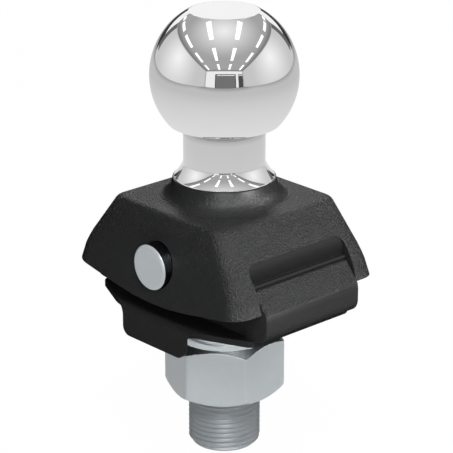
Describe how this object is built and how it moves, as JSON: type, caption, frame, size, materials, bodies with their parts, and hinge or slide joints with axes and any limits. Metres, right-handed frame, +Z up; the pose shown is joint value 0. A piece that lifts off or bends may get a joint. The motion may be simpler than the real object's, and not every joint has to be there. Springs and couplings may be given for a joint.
{
  "type": "tow ball",
  "caption": "Chromed tow ball on a rocking housing, pivoted over a base with rubber cushions, with a threaded shank, a seat plate and a hexagon nut.",
  "frame": {"origin": "shank axis at the seat plane, which is the underside of the seat plate", "axes": "+Z up the shank axis to the ball; X is the rocking direction, fore and aft of the vehicle; Y is the axis of the pivot pin"},
  "size_m": [0.0884, 0.0696, 0.1581],
  "materials": {
    "chrome": "polished",
    "black_coat": "black powder coat",
    "black_sheet": "black powder coat",
    "zinc": "bright zinc plate",
    "shank_steel": "zinc plate",
    "rubber": "moulded",
    "bronze": "machined"
  },
  "bodies": {
    "base": {"base_block": "black_coat", "threaded_shank": "shank_steel", "seat_plate": "black_sheet", "plate_screw_front": "zinc", "plate_screw_rear": "zinc", "pivot_bush_left": "bronze", "pivot_bush_right": "bronze", "cushion_front": "rubber", "cushion_rear": "rubber"},
    "rocker": {"tow_ball": "chrome", "ball_stud_nut": "zinc", "rocker_housing": "black_coat", "pivot_pin": "zinc"},
    "nut": {"hex_nut": "zinc"}
  },
  "joints": [
    {"name": "rock", "type": "hinge", "parent": "base", "child": "rocker", "pos_m": [0, 0, 0.0208], "axis": [0, 1, 0], "range_deg": [-6, 6], "stiffness_Nm_per_rad": 60, "deforming": ["cushion_front", "cushion_rear"]},
    {"name": "nut_travel", "type": "slide", "parent": "base", "child": "nut", "axis": [0, 0, 1], "range_m": [-0.045, 0.0125]}
  ]
}
